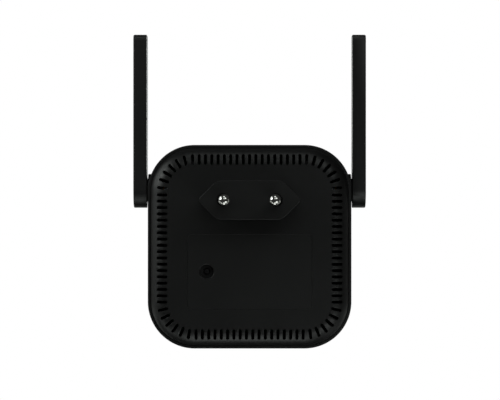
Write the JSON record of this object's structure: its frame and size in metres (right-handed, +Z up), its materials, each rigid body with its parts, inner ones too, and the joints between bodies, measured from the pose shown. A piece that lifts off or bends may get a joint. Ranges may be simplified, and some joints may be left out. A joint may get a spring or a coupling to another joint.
{
  "type": "wifi range extender",
  "caption": "Plug-in wifi range extender: rounded square case, mains plug block on a back with a ring of vent slots, recessed reset button, side antennas that fold down.",
  "frame": {"origin": "centre of the plug block's face, midway between the pins, where the plug meets the bottom of the socket recess", "axes": "+Z up, -Y out of the plug towards the wall, +Y towards the front of the case, +X to the right seen from the back"},
  "size_m": [0.0834, 0.056, 0.1126],
  "materials": {
    "case_plastic": "fine matt texture, black ABS",
    "plug_plastic": "satin black polycarbonate",
    "sleeve_plastic": "satin black insulating sleeve",
    "pin_metal": "bright nickel plate on brass",
    "label_film": "matt black polyester film, bare",
    "button_plastic": "satin black acetal",
    "antenna_plastic": "fine matt texture, black ABS",
    "clear_plastic": "clear polycarbonate",
    "steel": "plain zinc plated",
    "tinned_steel": "bright tin plate",
    "spring_bronze": "rolled phosphor bronze",
    "board_laminate": "green solder mask on glass epoxy",
    "antenna_laminate": "copper tracks on glass epoxy",
    "chip_plastic": "moulded black epoxy",
    "crystal_metal": "nickel plated lid",
    "silicone": "soft grey silicone",
    "led_plastic": "milky epoxy",
    "switch_plastic": "moulded nylon",
    "stem_plastic": "moulded nylon",
    "ferrite": "sintered ferrite",
    "winding_tape": "polyester tape over enamelled wire",
    "capacitor_can": "aluminium can in a dark shrink sleeve",
    "ceramic_blue": "blue dipped coating",
    "fuse_body": "grey green lacquer",
    "link_plastic": "moulded nylon with tinned pins",
    "wire_insulation": "PVC insulation",
    "coax_jacket": "FEP jacket"
  },
  "bodies": {
    "housing": {"front_cover": "case_plastic", "rear_cover": "case_plastic", "plug_block": "plug_plastic", "pin_sleeve_left": "sleeve_plastic", "pin_sleeve_right": "sleeve_plastic", "plug_pin_left": "pin_metal", "plug_pin_right": "pin_metal", "rating_label": "label_film", "light_pipe": "clear_plastic", "board_screws": "steel", "shield_can": "tinned_steel", "main_board": "board_laminate", "power_board": "board_laminate", "wifi_chip": "chip_plastic", "memory_chip": "chip_plastic", "amplifier_left": "chip_plastic", "amplifier_right": "chip_plastic", "rectifier": "chip_plastic", "crystal": "crystal_metal", "thermal_pad": "silicone", "status_led": "led_plastic", "reset_switch": "switch_plastic", "transformer_core": "ferrite", "choke": "ferrite", "transformer_winding": "winding_tape", "mains_capacitor_1": "capacitor_can", "mains_capacitor_2": "capacitor_can", "output_capacitor": "capacitor_can", "safety_capacitor": "ceramic_blue", "fuse": "fuse_body", "board_link": "link_plastic", "mains_wire_left": "wire_insulation", "mains_wire_right": "wire_insulation", "coax_left": "coax_jacket", "coax_right": "coax_jacket"},
    "antenna_left": {"antenna_case_left": "antenna_plastic", "antenna_cover_left": "antenna_plastic", "antenna_element_left": "antenna_laminate", "antenna_coax_left": "coax_jacket", "hinge_shaft_left": "steel", "friction_washer_left": "spring_bronze", "retaining_ring_left": "steel"},
    "antenna_right": {"antenna_case_right": "antenna_plastic", "antenna_cover_right": "antenna_plastic", "antenna_element_right": "antenna_laminate", "antenna_coax_right": "coax_jacket", "hinge_shaft_right": "steel", "friction_washer_right": "spring_bronze", "retaining_ring_right": "steel"},
    "reset_button": {"reset_plunger": "button_plastic", "reset_stem": "stem_plastic"}
  },
  "joints": [
    {"name": "antenna_left_hinge", "type": "hinge", "parent": "housing", "child": "antenna_left", "pos_m": [-0.0365, 0.03, 0.0036], "axis": [-1, 0, 0], "range_deg": [0, 180]},
    {"name": "antenna_right_hinge", "type": "hinge", "parent": "housing", "child": "antenna_right", "pos_m": [0.0365, 0.03, 0.0036], "axis": [-1, 0, 0], "range_deg": [0, 180]},
    {"name": "reset_press", "type": "slide", "parent": "housing", "child": "reset_button", "axis": [0, 1, 0], "range_m": [0, 0.0004], "stiffness_N_per_m": 2000}
  ]
}
